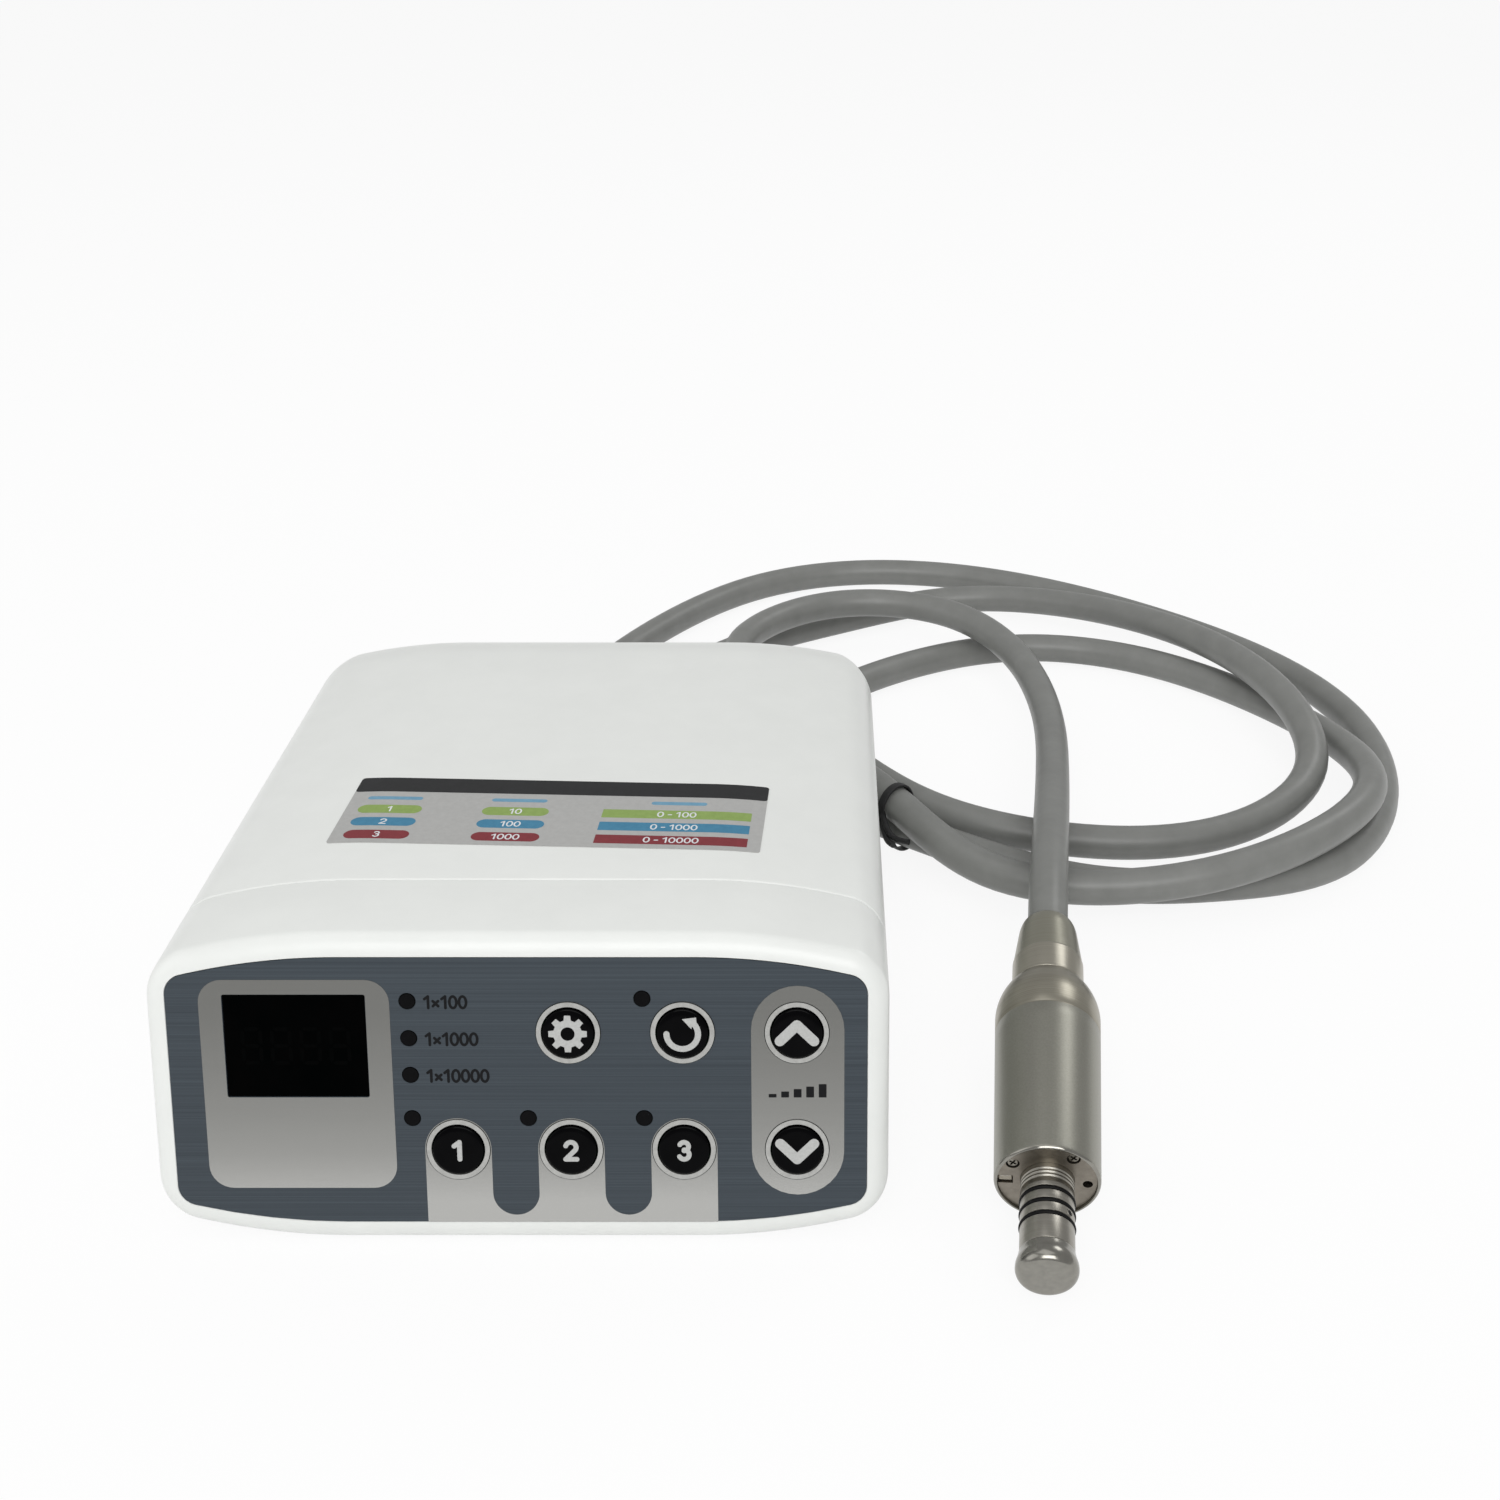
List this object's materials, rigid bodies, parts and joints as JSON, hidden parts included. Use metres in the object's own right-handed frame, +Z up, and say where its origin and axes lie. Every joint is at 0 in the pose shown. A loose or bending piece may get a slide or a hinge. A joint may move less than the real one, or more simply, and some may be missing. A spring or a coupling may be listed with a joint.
{
  "type": "dental micromotor",
  "caption": "Desktop dental micromotor: white console with a leaning key panel, a steel motor handpiece with a capped coupling nose, and a long silicone hose coiled between them.",
  "frame": {"origin": "on the table, at the middle of the footprint of the console and the handpiece without the hose", "axes": "+Z up, the panel looks along -Y, +X to the right of someone facing the panel"},
  "size_m": [0.2971, 0.3778, 0.0608],
  "materials": {
    "housing_white": "gloss",
    "overlay_slate": "brushed satin",
    "black_gloss": "gloss",
    "rim_silver": "satin",
    "board_green": "satin",
    "component_black": "matt",
    "screw_steel": "satin",
    "handpiece_steel": "brushed",
    "polished_steel": "polished",
    "sink_aluminium": "satin",
    "capacitor_blue": "satin",
    "header_ivory": "matt",
    "rubber_black": "matt",
    "hose_grey": "satin",
    "label_silver": "satin",
    "core_iron": "laminated",
    "copper": "enamelled",
    "contact_gold": "polished",
    "lamp_clear": "clear"
  },
  "bodies": {
    "console_and_handpiece": {"front_bezel": "housing_white", "top_cover": "housing_white", "base_tray": "housing_white", "rear_panel": "housing_white", "panel_overlay": "overlay_slate", "display_window": "black_gloss", "display_module": "component_black", "button_rims": "rim_silver", "indicator_lenses": "black_gloss", "keypad_board": "board_green", "key_switches": "component_black", "keypad_screws": "screw_steel", "main_board": "board_green", "board_screws": "screw_steel", "filter_capacitors": "capacitor_blue", "heat_sink": "sink_aluminium", "board_connectors": "header_ivory", "base_screws": "screw_steel", "rubber_feet": "rubber_black", "top_label": "label_silver", "power_switch": "component_black", "dc_inlet": "component_black", "coupling_inlet": "polished_steel", "gland_nut": "component_black", "strain_relief": "rubber_black", "motor_sleeve": "handpiece_steel", "hose_ferrule": "handpiece_steel", "front_plate": "handpiece_steel", "nose_tube": "handpiece_steel", "nose_o_rings": "rubber_black", "plate_screws": "screw_steel", "lamp_lens": "lamp_clear", "front_bearing": "polished_steel", "rear_bearing": "polished_steel", "stator_core": "core_iron", "stator_coils": "copper", "connector_block": "header_ivory", "contact_pins": "contact_gold", "motor_hose": "hose_grey", "hose_tie": "rubber_black"},
    "rotor": {"motor_shaft": "polished_steel", "rotor_magnet": "core_iron", "drive_dog": "polished_steel"},
    "nose_cap": {"nose_cap": "polished_steel"},
    "power_rocker": {"power_rocker": "component_black"},
    "button_gear": {"button_gear": "black_gloss"},
    "button_reverse": {"button_reverse": "black_gloss"},
    "button_speed_up": {"button_speed_up": "black_gloss"},
    "button_speed_down": {"button_speed_down": "black_gloss"},
    "button_memory_1": {"button_memory_1": "black_gloss"},
    "button_memory_2": {"button_memory_2": "black_gloss"},
    "button_memory_3": {"button_memory_3": "black_gloss"}
  },
  "joints": [
    {"name": "gear_press", "type": "slide", "parent": "console_and_handpiece", "child": "button_gear", "axis": [0, 0.9659, -0.2588], "range_m": [0, 0.0005], "stiffness_N_per_m": 800},
    {"name": "reverse_press", "type": "slide", "parent": "console_and_handpiece", "child": "button_reverse", "axis": [0, 0.9659, -0.2588], "range_m": [0, 0.0005], "stiffness_N_per_m": 800},
    {"name": "speed_up_press", "type": "slide", "parent": "console_and_handpiece", "child": "button_speed_up", "axis": [0, 0.9659, -0.2588], "range_m": [0, 0.0005], "stiffness_N_per_m": 800},
    {"name": "speed_down_press", "type": "slide", "parent": "console_and_handpiece", "child": "button_speed_down", "axis": [0, 0.9659, -0.2588], "range_m": [0, 0.0005], "stiffness_N_per_m": 800},
    {"name": "memory_1_press", "type": "slide", "parent": "console_and_handpiece", "child": "button_memory_1", "axis": [0, 0.9659, -0.2588], "range_m": [0, 0.0005], "stiffness_N_per_m": 800},
    {"name": "memory_2_press", "type": "slide", "parent": "console_and_handpiece", "child": "button_memory_2", "axis": [0, 0.9659, -0.2588], "range_m": [0, 0.0005], "stiffness_N_per_m": 800},
    {"name": "memory_3_press", "type": "slide", "parent": "console_and_handpiece", "child": "button_memory_3", "axis": [0, 0.9659, -0.2588], "range_m": [0, 0.0005], "stiffness_N_per_m": 800},
    {"name": "rocker_tilt", "type": "hinge", "parent": "console_and_handpiece", "child": "power_rocker", "pos_m": [0.0123, 0.0801, 0.0306], "axis": [-1, 0, 0], "range_deg": [0, 16]},
    {"name": "rotor_spin", "type": "hinge", "parent": "console_and_handpiece", "child": "rotor", "pos_m": [0.0785, -0.0725, 0.01034], "axis": [0.1029, 0.9794, 0.1736], "continuous": true},
    {"name": "cap_pull", "type": "slide", "parent": "console_and_handpiece", "child": "nose_cap", "axis": [-0.1029, -0.9794, -0.1736], "range_m": [0, 0.015]}
  ]
}
